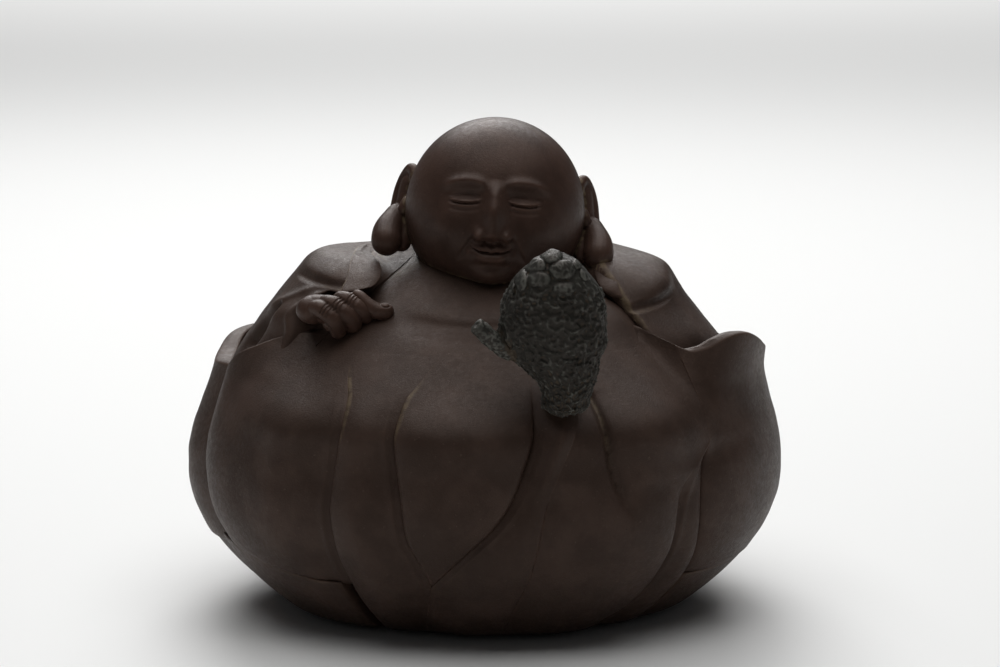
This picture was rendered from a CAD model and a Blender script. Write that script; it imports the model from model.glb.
# %% [markdown]
# # A laughing monk in a lotus
# The object is a small figurine of unglazed, dark brown clay. It was built by hand from separate pieces that
# were stuck together while soft. The construction is loaded as a fixed frame, with every piece at its real
# size. This lesson gives each of those pieces its finished shape and surface, and leaves it in its place.

# %% Load the frame
import math

import bpy
import numpy as np
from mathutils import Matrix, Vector, kdtree


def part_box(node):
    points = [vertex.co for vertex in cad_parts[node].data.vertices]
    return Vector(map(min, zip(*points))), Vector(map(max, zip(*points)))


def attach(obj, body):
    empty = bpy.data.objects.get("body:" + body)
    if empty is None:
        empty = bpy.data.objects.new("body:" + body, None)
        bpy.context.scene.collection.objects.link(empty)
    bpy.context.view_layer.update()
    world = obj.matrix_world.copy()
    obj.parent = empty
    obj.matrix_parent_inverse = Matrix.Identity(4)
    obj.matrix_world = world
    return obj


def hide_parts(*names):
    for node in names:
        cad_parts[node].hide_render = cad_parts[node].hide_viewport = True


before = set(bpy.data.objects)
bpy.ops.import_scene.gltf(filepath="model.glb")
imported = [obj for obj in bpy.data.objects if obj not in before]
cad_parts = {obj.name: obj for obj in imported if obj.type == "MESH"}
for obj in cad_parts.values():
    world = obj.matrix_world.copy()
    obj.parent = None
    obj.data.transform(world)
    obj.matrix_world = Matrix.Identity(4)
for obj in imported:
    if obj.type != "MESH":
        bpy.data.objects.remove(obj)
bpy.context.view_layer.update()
MM = 0.001
foot_low, foot_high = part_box("foot_disc")
AXIS = np.array([(foot_low.x + foot_high.x) / 2, (foot_low.y + foot_high.y) / 2, 0]) / MM
print("frame nodes:", len(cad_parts), "lotus axis at", AXIS.round(2), "mm")

# %% [markdown]
# ## Camera, floor and light
# The photograph looks at the figurine from a little above, with a long lens, so the sides hardly converge.
# The camera is placed by an aim point, a distance and a height angle, because those can be read off and
# changed one at a time. The floor is a plain pale sheet. One large soft lamp hangs overhead, a smaller one
# behind the figurine lights its crown and shoulders, and a far one keeps the background even and pale.

# %% Camera
AIM = Vector((2.8, 0, 44.7)) * MM
CAMERA_DISTANCE = 500 * MM
CAMERA_ELEVATION = math.radians(10)
LENS = 108.4

camera_data = bpy.data.cameras.new("photo_camera")
camera_data.lens = LENS
camera = bpy.data.objects.new("photo_camera", camera_data)
bpy.context.scene.collection.objects.link(camera)
away = Vector((0, -math.cos(CAMERA_ELEVATION), math.sin(CAMERA_ELEVATION)))
camera.location = AIM + away * CAMERA_DISTANCE
camera.rotation_euler = away.to_track_quat("Z", "Y").to_euler()
bpy.context.scene.camera = camera
print("camera at", [round(value, 3) for value in camera.location])

# %% Floor and lamps
FLOOR_SIZE = 12
FLOOR_ROUGHNESS = 0.6
PALE = (0.82, 0.82, 0.81, 1)
ROOM_COLOUR = (0.9, 0.92, 0.95, 1)
ROOM_STRENGTH = 0.06
# Place, target and size in metres, and power in watts
LAMPS = {
    "top_lamp": ((0, 0.05, 0.8), AIM, 1, 6),
    "back_lamp": ((-0.08, 0.6, 0.62), AIM, 0.4, 2),
    "far_lamp": ((0, 2.2, 1.3), (0, 2.1, 0), 1.6, 30),
}

bpy.ops.object.select_all(action="DESELECT")
bpy.ops.mesh.primitive_plane_add(size=FLOOR_SIZE, location=(0, 0, 0))
floor = bpy.context.object
floor.name = "floor"
floor_paint = bpy.data.materials.new("pale_table")
floor_paint.use_nodes = True
floor_shader = floor_paint.node_tree.nodes["Principled BSDF"]
floor_shader.inputs["Base Color"].default_value = PALE
floor_shader.inputs["Roughness"].default_value = FLOOR_ROUGHNESS
floor.data.materials.append(floor_paint)


def soft_lamp(name, place, target, size, power):
    """Adds a square area lamp that faces a target."""
    lamp_data = bpy.data.lights.new(name, "AREA")
    lamp_data.size = size
    lamp_data.energy = power
    lamp = bpy.data.objects.new(name, lamp_data)
    bpy.context.scene.collection.objects.link(lamp)
    lamp.location = place
    lamp.rotation_euler = (Vector(place) - Vector(target)).to_track_quat("Z", "Y").to_euler()


for lamp_name, settings in LAMPS.items():
    soft_lamp(lamp_name, *settings)

world = bpy.data.worlds.new("pale_room")
bpy.context.scene.world = world
world.use_nodes = True
room_light = world.node_tree.nodes["Background"]
room_light.inputs["Color"].default_value = ROOM_COLOUR
room_light.inputs["Strength"].default_value = ROOM_STRENGTH
bpy.context.scene.view_settings.view_transform = "Standard"
print("floor,", len(LAMPS), "lamps and a pale room")

# %% [markdown]
# ## Curves and forms of the body
# Everything round the lotus is described by an angle from the front and a height, because the petals, the
# belly and the robe all wrap one upright axis. A form is then a radius that depends on the two. The formulas
# are worked out on whole arrays of points at once, so that a fine mesh costs little time.


# %% Small curves
def mix(start, end, share):
    return start + (end - start) * share


def ease(value, low, high):
    """Rises smoothly from 0 at low to 1 at high."""
    share = np.clip((value - low) / (high - low), 0, 1)
    return share * share * (3 - 2 * share)


def hump(value, middle, spread):
    """A soft hill of height 1."""
    return np.exp(-(((value - middle) / spread) ** 2))


def swellings(across, up, hills):
    """Sum of soft hills: each has a rise, a middle and spread across, and a middle and spread upwards."""
    total = 0
    for rise, middle, wide, level, tall in hills:
        total = total + rise * hump(across, middle, wide) * hump(up, level, tall)
    return total


def quarter_round(distance, radius):
    """Rises from 0 at an edge to 1 at the radius, along a quarter circle."""
    rest = 1 - np.clip(distance / radius, 0, 1)
    return np.sqrt(1 - rest * rest)


def along(pairs, position):
    """Smooth curve through pairs of a position and a value."""
    places, values = np.array(pairs, float).T
    last = len(places) - 1
    before = np.maximum(np.arange(last + 1) - 1, 0)
    after = np.minimum(np.arange(last + 1) + 1, last)
    slopes = (values[after] - values[before]) / (places[after] - places[before])
    inside = np.clip(position, places[0], places[-1])
    step = np.clip(np.searchsorted(places, inside, side="right") - 1, 0, last - 1)
    span = places[step + 1] - places[step]
    t = (inside - places[step]) / span
    start = (2 * t**3 - 3 * t**2 + 1) * values[step]
    end = (3 * t**2 - 2 * t**3) * values[step + 1]
    leaving = (t**3 - 2 * t**2 + t) * span * slopes[step]
    arriving = (t**3 - t**2) * span * slopes[step + 1]
    return start + end + leaving + arriving


def even(value):
    """Pairs for a curve that has the same value all along."""
    return ((0, value), (1, value))


print("ease at a quarter:", float(ease(0.25, 0, 1)))

# %% Forms, in millimetres and degrees
PETAL_THICKNESS = 3
RIM_THICKNESS = 2
JOINT_GAP = 0.3
WALL = 4.5
LOTUS_WIDTH = 100
LOTUS_DEPTH = 92
FOOT_WIDTH = 66
FOOT_LIFT = 0.7
WAIST_HEIGHT = 23
SEAM_HEIGHT = 46
CROWN_HEIGHT = 62
NECK_HEIGHT = 60
RIM_DRAW_IN = 3.5
RIM_DRAW_BACK = 2.4
RIM_DRAW_LEAN = 0.5
RIM_DRAW_HEIGHTS = (25, 41)
RIM_DRAW_TURN = (-0.6, 0)
RIM_FLARE = 0.8
RIM_FLARE_HEIGHTS = (40, 48)
PETAL_RELIEF = 1.6
BELLY_ROUNDNESS = 0.75
BELLY_SWELL = 2.6
BELLY_SWELL_LEVEL = (36.8, 5.2)
BELLY_FRONT = (0.4, 0.8)
ROBE_WIDTH = 92
ROBE_FRONT_DEPTH = 36
ROBE_BACK_DEPTH = 43
ROBE_HEM_HEIGHT = 39.5
ROBE_ROUNDNESS = 0.42
SHOULDER_SEAT = 5
SHOULDER_SEAT_EASE = 9
SHOULDER_THICKNESS = 3.4
HEM_EASE = 6
EDGE_TUCK = 0.8
# Under the robe's edge the chest stays out for this many degrees, from these heights on at the left and right
CHEST_REACH = 6
CHEST_OUT_LEFT = (48, 50.5)
CHEST_OUT_RIGHT = (52, 54.5)
CHEST_EDGE_SINK = 0.03
CHEST_EDGE_FADE = 1.2
# Soft hills on the body: rise, angle and its spread, height and its spread
LEFT_CHEST = (2.4, 47, 9, 52, 3.6)
RIGHT_SHOULDER = (2.2, -84, 34, 56, 5)
LEFT_SHOULDER = (1, 86, 30, 54.5, 3)
RIGHT_FOREARM = (2.2, -69, 9, 50.6, 3.2)
LEFT_FOREARM = (1.4, 66, 14, 46.5, 3)
LEFT_WAIST = (-0.8, 88, 25, 47, 5)
ROBE_HILLS = (RIGHT_SHOULDER, LEFT_SHOULDER, RIGHT_FOREARM, LEFT_FOREARM, LEFT_WAIST)
RIGHT_LIFT = (1.2, -92, 30, 58, 3)
LEFT_LIFT = (1.3, 84, 34, 56.2, 2.8)
NECK_DIP = 2.4
NECK_DIP_ANGLE = (-102, 42)
NECK_DIP_HEIGHTS = (57.4, 60.2)
# Height and angle of the robe's front edge
ROBE_EDGE = (
    (39, 52), (52, 52), (53.6, 52.4), (54.8, 53.3), (56, 54.6), (57.4, 58), (58.8, 66), (60, 78), (62, 86)
)
ROBE_SIDE_ANGLE = 112
NECK_DIAMETER = 23
NECK_PLACE = (1.8, -4.5)
GIRTH = (LOTUS_WIDTH / 2 - PETAL_RELIEF, LOTUS_DEPTH / 2 - PETAL_RELIEF)


def placed(angle, radius, height):
    """Points at angles, distances from the lotus axis and heights."""
    turn = np.radians(angle)
    return np.stack([radius * np.sin(turn), -radius * np.cos(turn), height + 0 * turn], axis=-1)


def oval(angle, half_width, half_depth):
    turn = np.radians(angle)
    return 1 / np.hypot(np.sin(turn) / half_width, np.cos(turn) / half_depth)


def foot_share(height):
    rise = 1 - np.minimum(height, WAIST_HEIGHT) / WAIST_HEIGHT
    return 1 - (1 - FOOT_WIDTH / LOTUS_WIDTH) * rise**2


def dome_share(height):
    rise = (np.maximum(height, WAIST_HEIGHT) - WAIST_HEIGHT) / (CROWN_HEIGHT - WAIST_HEIGHT)
    return np.maximum(1 - rise**2, 0)


def turn_of(angle):
    """The same angle, from -180 to 180."""
    return (angle + 180) % 360 - 180


def torso_radius(angle, height):
    """Belly and chest: one swelling form from the foot to the neck."""
    front = ease(np.cos(np.radians(angle)), *BELLY_FRONT)
    dome = oval(angle, *GIRTH) * foot_share(height) * dome_share(height) ** BELLY_ROUNDNESS
    belly = front * BELLY_SWELL * hump(height, *BELLY_SWELL_LEVEL)
    return dome + belly + swellings(turn_of(angle), height, [LEFT_CHEST])


def bowl_radius(angle, height):
    """Upright bowl that the outer petals follow, drawn in under the rims and most at the figure's right."""
    turn = np.radians(angle)
    draw = mix(RIM_DRAW_BACK, RIM_DRAW_IN - RIM_DRAW_LEAN * np.sin(turn), ease(np.cos(turn), *RIM_DRAW_TURN))
    drawn = draw * ease(height, *RIM_DRAW_HEIGHTS) - RIM_FLARE * ease(height, *RIM_FLARE_HEIGHTS)
    return oval(angle, *GIRTH) * foot_share(height) - drawn


def robe_edge(height):
    """Angle of the robe's front edge, which turns back towards the neck as it rises."""
    return along(ROBE_EDGE, height)


def body_radius(angle, height):
    """Outside of the pot, set back under the petals and under the robe."""
    turn = turn_of(angle)
    chest_out = np.where(turn > 0, ease(height, *CHEST_OUT_LEFT), ease(height, *CHEST_OUT_RIGHT))
    edge = robe_edge(height) - EDGE_TUCK + CHEST_REACH * chest_out
    under_robe = ease(np.abs(turn), edge, edge + SHOULDER_SEAT_EASE)
    under_robe = under_robe * ease(height, ROBE_HEM_HEIGHT - HEM_EASE, ROBE_HEM_HEIGHT)
    chest_edge = CHEST_EDGE_SINK * (1 - ease(height, SEAM_HEIGHT, SEAM_HEIGHT + CHEST_EDGE_FADE))
    petal_seat = np.where(height < SEAM_HEIGHT, PETAL_THICKNESS + JOINT_GAP, chest_edge)
    return torso_radius(angle, height) - np.maximum(SHOULDER_SEAT * under_robe, petal_seat)


def robe_oval(angle):
    depth = np.where(np.cos(np.radians(angle)) < 0, ROBE_BACK_DEPTH, ROBE_FRONT_DEPTH)
    return oval(angle, ROBE_WIDTH / 2, depth)


def robe_radius(angle, height):
    """Outside of the robe, with its shoulders and forearms."""
    hills = swellings(turn_of(angle), height, ROBE_HILLS)
    return robe_oval(angle) * dome_share(height) ** ROBE_ROUNDNESS + hills


def shoulder_lift(angle, height):
    """Humps of the two shoulders, and the dip between the right one and the neck."""
    turn = turn_of(angle)
    dip = NECK_DIP * hump(turn, *NECK_DIP_ANGLE) * ease(height, *NECK_DIP_HEIGHTS)
    return swellings(turn, height, (RIGHT_LIFT, LEFT_LIFT)) - dip


def neck_reach(angle):
    """Distance from the axis to the edge of the neck."""
    turn = np.radians(angle)
    forward = NECK_PLACE[0] * np.sin(turn) - NECK_PLACE[1] * np.cos(turn)
    aside = -NECK_PLACE[0] * np.cos(turn) - NECK_PLACE[1] * np.sin(turn)
    return forward + np.sqrt((NECK_DIAMETER / 2) ** 2 - aside**2)


def robe_top(angle):
    """Height at which the robe reaches the neck."""
    share = (neck_reach(angle) / robe_oval(angle)) ** (1 / ROBE_ROUNDNESS)
    return WAIST_HEIGHT + (CROWN_HEIGHT - WAIST_HEIGHT) * np.sqrt(1 - share)


print("belly at the seam:", round(float(torso_radius(0, SEAM_HEIGHT)), 1), "mm from the axis")

# %% [markdown]
# ## Sheets and lumps of clay
# A potter works with two kinds of clay: flat slabs and round lumps. A slab starts here as a grid primitive
# with a turned-over copy under it. Both are moved to their surfaces and merged along the border, so the slab
# is closed. A lump starts as a sphere, or as several primitives that a Remesh modifier fuses into one skin.

# %% Slabs
MERGE_DISTANCE = 0.002 * MM
SMOOTH_ANGLE = math.radians(50)
EDGE_CROWDING = 0.6


def crowded(share):
    """Moves shares towards 0 and 1, so that a grid is finest along its border."""
    return share - EDGE_CROWDING * np.sin(2 * np.pi * share) / (2 * np.pi)


def read_values(items, word, width, kind=float):
    """One row of numbers for each item of a mesh."""
    values = np.empty(width * len(items), kind)
    items.foreach_get(word, values)
    return values.reshape(-1, width)


def named(piece, name):
    piece.name = name
    piece.data.name = name
    return piece


def start_slab(name, columns, rows):
    """Adds a grid and its turned-over copy, and gives the share across and up of every point of the grid."""
    bpy.ops.object.select_all(action="DESELECT")
    bpy.ops.mesh.primitive_grid_add(x_subdivisions=columns, y_subdivisions=rows, size=2)
    slab = named(bpy.context.object, name)
    flat = (read_values(slab.data.vertices, "co", 3) + 1) / 2
    bpy.ops.object.mode_set(mode="EDIT")
    bpy.ops.mesh.select_all(action="SELECT")
    bpy.ops.mesh.duplicate()
    bpy.ops.mesh.flip_normals()
    bpy.ops.object.mode_set(mode="OBJECT")
    return slab, np.clip(flat[:, 0], 0, 1), np.clip(flat[:, 1], 0, 1)


def set_points(piece, points):
    """Moves a mesh's points to places in millimetres round the lotus axis."""
    piece.data.vertices.foreach_set("co", ((points + AXIS) * MM).ravel())
    piece.data.update()


def get_points(piece):
    return read_values(piece.data.vertices, "co", 3) / MM - AXIS


def choose(piece):
    """Selects one piece alone and makes it the active one."""
    bpy.ops.object.select_all(action="DESELECT")
    piece.select_set(True)
    bpy.context.view_layer.objects.active = piece


def smooth_shading(piece):
    choose(piece)
    bpy.ops.object.shade_smooth_by_angle(angle=SMOOTH_ANGLE)


def finish_slab(slab, skin, lining, crease_depth=0):
    """Moves the grid to the skin and its copy to the lining, and closes the border."""
    set_points(slab, np.concatenate([skin, lining]))
    depths = np.concatenate([np.zeros(len(skin)) + crease_depth, np.zeros(len(lining))])
    slab.data.attributes.new("crease", "FLOAT", "POINT").data.foreach_set("value", depths.astype(np.float32))
    bpy.ops.object.mode_set(mode="EDIT")
    bpy.ops.mesh.select_all(action="SELECT")
    bpy.ops.mesh.remove_doubles(threshold=MERGE_DISTANCE)
    bpy.ops.object.mode_set(mode="OBJECT")
    smooth_shading(slab)


def straight_walled(share, steps):
    """Shares for a lining whose border row goes straight in from the skin."""
    return np.clip((share - 1 / steps) / (1 - 2 / steps), 0, 1)


def on_border(across, up):
    """True on the border of a grid."""
    return (across <= 0) | (across >= 1) | (up <= 0) | (up >= 1)


print("slabs are closed grids, merged within", MERGE_DISTANCE / MM, "mm")

# %% Unevenness of hand work
WAVE_COUNT = 14
WAVE_FINENESS = 0.55
WAVE_GAIN = 2.2
ROUTE_STEPS = 60
rng = np.random.default_rng(7)
WAVES = rng.normal(size=(WAVE_COUNT, 3)) * WAVE_FINENESS
WAVE_STARTS = rng.uniform(0, 2 * np.pi, WAVE_COUNT)


def unevenness(points):
    """Slow, random swelling of a hand-smoothed surface, from about -1 to 1."""
    return np.sin(points @ WAVES.T + WAVE_STARTS).mean(axis=1) * WAVE_GAIN


def stroke(angle, height, route, reach):
    """Distance in millimetres from a route of angles and heights, and the share along it."""
    route = np.array(route, float)
    steps = np.linspace(0, 1, ROUTE_STEPS)
    stops = np.linspace(0, 1, len(route))
    turns = along(np.stack([stops, route[:, 0]], 1), steps)
    levels = along(np.stack([stops, route[:, 1]], 1), steps)
    per_degree = math.radians(1) * reach
    gap = np.hypot((angle[:, None] - turns) * per_degree, height[:, None] - levels)
    nearest = gap.argmin(axis=1)
    return gap.min(axis=1), steps[nearest]


print("unevenness of one point:", round(float(unevenness(np.zeros((1, 3)))[0]), 2))

# %% [markdown]
# ## Lotus petals
# Each petal is a slab of clay about 3 mm thick, laid on the pot between two creases. The front petals run
# smoothly up into the belly, so their upper ends are tucked under the chest at the same level. The outer
# petals stand away from the body and end in a thin rounded rim. A crease is not only a line: the two petals
# swell towards their middles, and their edges roll in.


# %% Creases
def crease(*pairs):
    return lambda share: along(pairs, share)


crease_left = crease(
    (0, -60), (0.26, -63.6), (0.4, -66.8), (0.55, -70), (0.69, -73.2), (0.8, -76), (0.88, -78.5)
)
crease_left_front = crease(
    (0, -30.5), (0.1, -30.9), (0.235, -31.1), (0.33, -31.6), (0.41, -31.9), (0.51, -32.3), (0.62, -31.8),
    (0.72, -31), (0.79, -30.7), (0.87, -32), (0.94, -35.4), (1, -38.5)
)
crease_front_left = crease(
    (0, -18), (0.07, -16.6), (0.14, -14.3), (0.245, -12.1), (0.35, -14), (0.42, -15.8), (0.56, -17),
    (0.66, -18), (0.75, -18.6), (0.79, -18.6), (0.84, -18.3), (0.89, -17.7), (0.91, -16.7), (1, -12.5)
)
front_right_sweep = crease(
    (0.15, -18), (0.25, -11.2), (0.37, -3.8), (0.46, 1.7), (0.565, 6), (0.73, 9.7), (0.835, 10.9), (1, 12)
)
crease_stem = crease(
    (0, 5), (0.14, 7.3), (0.255, 9.7), (0.365, 10.9), (0.5, 12.2), (0.6, 13.9), (0.72, 17), (1, 25)
)
crease_right = crease(
    (0, 51.4), (0.1, 51.6), (0.22, 51.4), (0.35, 50), (0.46, 48.8), (0.56, 49), (0.63, 49.7), (0.71, 51.4),
    (1, 53)
)
right_front_sweep = crease(
    (0, 33), (0.065, 35), (0.11, 38.1), (0.22, 40.6), (0.34, 41.7), (0.47, 42.1), (0.57, 43.5), (0.63, 46),
    (0.67, 48.6), (0.71, 51.4), (0.76, 55)
)
crease_back_right = crease((0, 95), (0.5, 97), (1, 103))
crease_back_first = crease((0, 137), (0.5, 139), (1, 142))
crease_back_middle = crease((0, 178), (0.5, 180), (1, 182))
crease_back_last = crease((0, 214), (0.5, 215), (1, 212))
crease_back_left = crease((0, 250), (0.5, 249), (1, 246))


def crease_front_right(share):
    return np.maximum(crease_front_left(share), front_right_sweep(share))


def crease_right_front(share):
    return np.minimum(crease_right(share), right_front_sweep(share))


def crease_left_turned(share):
    return crease_left(share) + 360


foot_places = [round(float(line(0.0)), 1) for line in (crease_left, crease_stem, crease_right)]
print("creases at the foot:", foot_places)

# %% Petal table
UNDER_TOP = 9.6
TO_FOOT = even(FOOT_LIFT)
TO_UNDER_PETALS = even(UNDER_TOP)
SEAM_RIM = even(SEAM_HEIGHT)
BACK_RIM = ((0, 40), (0.25, 42.4), (0.5, 43.8), (0.75, 42.4), (1, 40))
STEM_SWELL = 1.2
NEVER = 99
# edges: creases at both sides; low: lower edge; rim: upper edge; stand: how far the petal stands off the body
# lap: how far each side laps over its neighbour; fades: heights at which the two creases run out
# crisp: how sharp the two creases are; dust: residue high in the first crease; stem: swelling of the stem
# tuck: where the upper edge slips under the chest
FRONT_PETAL = dict(low=TO_FOOT, stand=even(0), rim=SEAM_RIM, tuck=even(1))
BACK_PETAL = dict(low=TO_UNDER_PETALS, stand=even(1), rim=BACK_RIM, fades=(NEVER, NEVER))
PETALS = {
    "petal_left_back": dict(
        edges=(crease_back_left, crease_left_turned), lap=(0, -0.5), fades=(NEVER, NEVER),
        low=((0, UNDER_TOP), (1, UNDER_TOP + 3.2)),
        stand=((0, 1), (0.6, 0.95), (1, 0.7)),
        rim=((0, 43.2), (0.2, 42.6), (0.42, 40.7), (0.6, 40.1), (0.8, 40.5), (1, 40.8))),
    "petal_left": dict(
        edges=(crease_left, crease_left_front), lap=(1, -0.2), fades=(NEVER, 44.5),
        low=((0, 13.3), (0.27, 12.2), (0.5, 11), (0.74, 10), (1, 10)),
        stand=((0, 0.62), (0.25, 0.4), (0.5, 0.08), (0.65, 0), (1, 0)),
        rim=((0, 40.2), (0.1, 43.2), (0.25, 45.4), (0.4, 47.4), (0.52, 48), (0.66, 48.3), (0.78, 48),
             (0.9, 46.8), (1, 46)),
        tuck=((0, 0), (0.56, 0), (0.74, 1), (1, 1))),
    "petal_left_front": dict(
        FRONT_PETAL, edges=(crease_left_front, crease_front_left), lap=(0.5, -0.3), fades=(44.5, 43),
        dust=2.4),
    "petal_front": dict(
        FRONT_PETAL, edges=(crease_front_left, crease_front_right), low=even(10.6), lap=(0.75, 0.6),
        fades=(43, 44), dust=1.5),
    "petal_stem": dict(
        FRONT_PETAL, edges=(crease_front_right, crease_stem), lap=(-0.2, 0.1), fades=(44, 29), crisp=(1, 0.5),
        stem=STEM_SWELL),
    "petal_right_front": dict(
        edges=(crease_stem, crease_right_front), low=TO_FOOT, lap=(0, 0.8), fades=(29, 29), crisp=(0.5, 1),
        stand=((0, 0), (0.84, 0), (0.9, 0.04), (0.95, 0.17), (1, 0.42)),
        rim=((0, 46), (0.72, 46), (0.8, 46.4), (0.87, 47.8), (0.915, 49.3), (0.95, 48.5), (1, 46.9)),
        tuck=((0, 1), (0.82, 1), (0.91, 0), (1, 0))),
    "petal_right_sliver": dict(
        FRONT_PETAL, edges=(crease_right_front, crease_right), lap=(-0.7, 0.2), fades=(29, 33),
        stand=even(0.42), rim=even(31.6)),
    "petal_right": dict(
        edges=(crease_right, crease_back_right), low=TO_UNDER_PETALS, lap=(0, 0), fades=(33, NEVER),
        stand=((0, 0.42), (0.04, 0.56), (0.1, 0.82), (0.18, 0.96), (0.3, 1), (1, 1)),
        rim=((0, 46.9), (0.04, 46), (0.08, 46.4), (0.13, 47.6), (0.19, 48.3), (0.28, 48), (0.37, 46.8),
             (0.48, 45.2), (0.58, 44), (0.66, 42.6), (0.8, 40.6), (1, 39.5))),
    "petal_back_right": dict(
        BACK_PETAL, edges=(crease_back_right, crease_back_first), lap=(0, 0.5),
        rim=((0, 39), (0.35, 40.6), (0.65, 42.6), (0.85, 41.8), (1, 40))),
    "petal_back_right_inner": dict(BACK_PETAL, edges=(crease_back_first, crease_back_middle), lap=(-0.3, 0)),
    "petal_back_left_inner": dict(BACK_PETAL, edges=(crease_back_middle, crease_back_last), lap=(0.6, -0.3)),
    "petal_back_left": dict(BACK_PETAL, edges=(crease_back_last, crease_back_left), lap=(0.4, 0.5)),
}
print("petals:", len(PETALS))

# %% Petal shape
PETAL_GRID = (100, 136)
PETAL_RISE = 1.1
PETAL_SWELL = 2.3
PILLOW_REACH = 12
SHOULDER_POWER = 0.62
FADED_SINK = 0.3
FAR_SIDE = (0, 0.8)
LOW_SIDE = 0.25
STRIP_HEIGHT = 0.16
STRIP_PLACE = (1.7, 0.6)
CREASE_RADIUS = 0.7
CREASE_DEPTH = 0.3
CREASE_FADE = 5
# Residue in a crease: distance from the edge and its spread, height and its spread
DUST_BAND = (0.2, 0.8)
DUST_LEVEL = (38.5, 4.5)
LAP_FADE = 12
LAP_ROUND = 1.2
EDGE_OVERLAP = 0.08
FOOT_ROUND = 1.4
RIM_ROUND = 0.45
TUCK_LENGTH = 1.8
TUCK_DEPTH = 0.3
PETAL_UNEVENNESS = 0.1
EVEN_TOP = 6
# Shares of the seam's height between which a form comes in or goes out
BELLY_MERGE = (0.74, 1)
RIM_THINNING = (0.5, 1)
STEM_RISE = (0.55, 0.84)
STEM_FALL = (0.86, 0.98)
SIDE_CREASE = ((25.2, 42), (25.5, 39.5), (25.7, 35.2), (26.4, 30.7), (28.4, 25.3), (31.5, 20.8))
# Depth and spread of the cut of that crease and of the dale round it, and where along it they come and go
SIDE_CUT = (0.9, 0.6)
SIDE_DALE = (0.7, 2.6)
SIDE_STARTS = (0, 0.15)
SIDE_ENDS = (0.7, 1)


def side_rise(distance, crisp):
    """Rise of a petal away from one side: a tight shoulder at a crisp crease, else a soft slope."""
    share = np.clip(distance / PILLOW_REACH, 0, 1)
    shoulder = (1 - (1 - share) ** 2) ** SHOULDER_POWER
    return mix(share * share * (3 - 2 * share), shoulder, crisp)


def petal_sheets(petal, across, up):
    """Skin, lining and residue of a petal, for shares across its width and up its height."""
    rim = along(petal["rim"], across)
    tucked = np.clip(along(petal.get("tuck", even(0)), across), 0, 1)
    low = along(petal["low"], across)
    height = mix(low, rim + TUCK_LENGTH * tucked, up)
    share = height / SEAM_HEIGHT
    first = petal["edges"][0](share) - EDGE_OVERLAP
    last = np.maximum(petal["edges"][1](share), first) + EDGE_OVERLAP
    angle = mix(first, last, across)
    belly = torso_radius(angle, height)
    width = (last - first) * math.radians(1) * belly
    stand = np.clip(along(petal["stand"], across), 0, 1)
    upright = mix(belly, bowl_radius(angle, height), stand)
    level = 1 - (1 - stand) * ease(share, *BELLY_MERGE)
    sharp = petal.get("crisp", (1, 1))
    crisp = [most * (1 - ease(height, end - CREASE_FADE, end)) for most, end in zip(sharp, petal["fades"])]
    over = [1 - ease(height, end - LAP_FADE, end) for end in petal["fades"]]
    sinks = []
    strip = 0
    lap = 0
    groove = 0
    for side, share_off in enumerate((across, 1 - across)):
        to_side = share_off * width
        under = petal["lap"][side] < 0
        tight = crisp[side] * (LOW_SIDE if under else 1)
        ends = mix(ease(1 - share_off, *FAR_SIDE), 1, crisp[1 - side])
        sinks.append(PETAL_SWELL * (1 - side_rise(to_side, tight)) * mix(FADED_SINK, 1, crisp[side]) * ends)
        strip = strip + STRIP_HEIGHT * under * crisp[side] * hump(to_side, *STRIP_PLACE)
        lap = lap + petal["lap"][side] * (1 - share_off) ** 3 * over[side] * quarter_round(to_side, LAP_ROUND)
        groove = np.maximum(groove, (1 - quarter_round(to_side, CREASE_RADIUS)) * crisp[side])
    sink = np.cbrt(sinks[0] ** 3 + sinks[1] ** 3) - strip
    stem = petal.get("stem", 0) * ease(share, *STEM_RISE) * (1 - ease(share, *STEM_FALL))
    stem = stem * np.sin(np.pi * across)
    outside = upright + level * (PETAL_RISE - sink + lap) + stem
    outside = outside - CREASE_DEPTH * groove
    outside = outside - FOOT_ROUND * (1 - quarter_round(height - low, FOOT_ROUND))
    outside = outside - TUCK_DEPTH * ease(height, rim, rim + TUCK_LENGTH) * tucked
    thickness = mix(PETAL_THICKNESS, RIM_THICKNESS, stand * ease(share, *RIM_THINNING))
    inside = np.maximum(upright - thickness, belly - PETAL_THICKNESS)
    inside = np.minimum(inside, outside - RIM_THICKNESS / 2)
    closing = (1 - quarter_round(rim - height, RIM_ROUND)) * (1 - tucked)
    half = (outside - inside) / 2
    dust = petal.get("dust", 0) * hump(across * width, *DUST_BAND) * hump(height, *DUST_LEVEL)
    residue = np.maximum(groove, np.minimum(dust, 1))
    return angle, height, outside - half * closing, inside + half * closing, residue


def make_petal(name, petal):
    slab, across, up = start_slab(name, *PETAL_GRID)
    inner_across = straight_walled(across, PETAL_GRID[0])
    inner_up = straight_walled(up, PETAL_GRID[1])
    inner_angle, inner_height, _, inside, _ = petal_sheets(petal, crowded(inner_across), crowded(inner_up))
    angle, height, outside, _, residue = petal_sheets(petal, crowded(across), crowded(up))
    if name == "petal_right_front":
        gap, done = stroke(angle, height, SIDE_CREASE, GIRTH[1])
        depth = ease(done, *SIDE_STARTS) * (1 - ease(done, *SIDE_ENDS))
        cut = hump(gap, 0, SIDE_CUT[1]) * depth
        outside = outside - SIDE_CUT[0] * cut - SIDE_DALE[0] * hump(gap, 0, SIDE_DALE[1]) * depth
        residue = np.maximum(residue, cut)
    skin = placed(angle, outside, height)
    lift = unevenness(skin) * PETAL_UNEVENNESS * (1 - ease(height, SEAM_HEIGHT - EVEN_TOP, SEAM_HEIGHT))
    skin = placed(angle, outside + lift, height)
    lining = np.where(on_border(across, up)[:, None], skin, placed(inner_angle, inside, inner_height))
    finish_slab(slab, skin, lining, residue)
    return slab


petals = {name: make_petal(name, petal) for name, petal in PETALS.items()}
print("petal points:", sum(len(petal.data.vertices) for petal in petals.values()))

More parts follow.
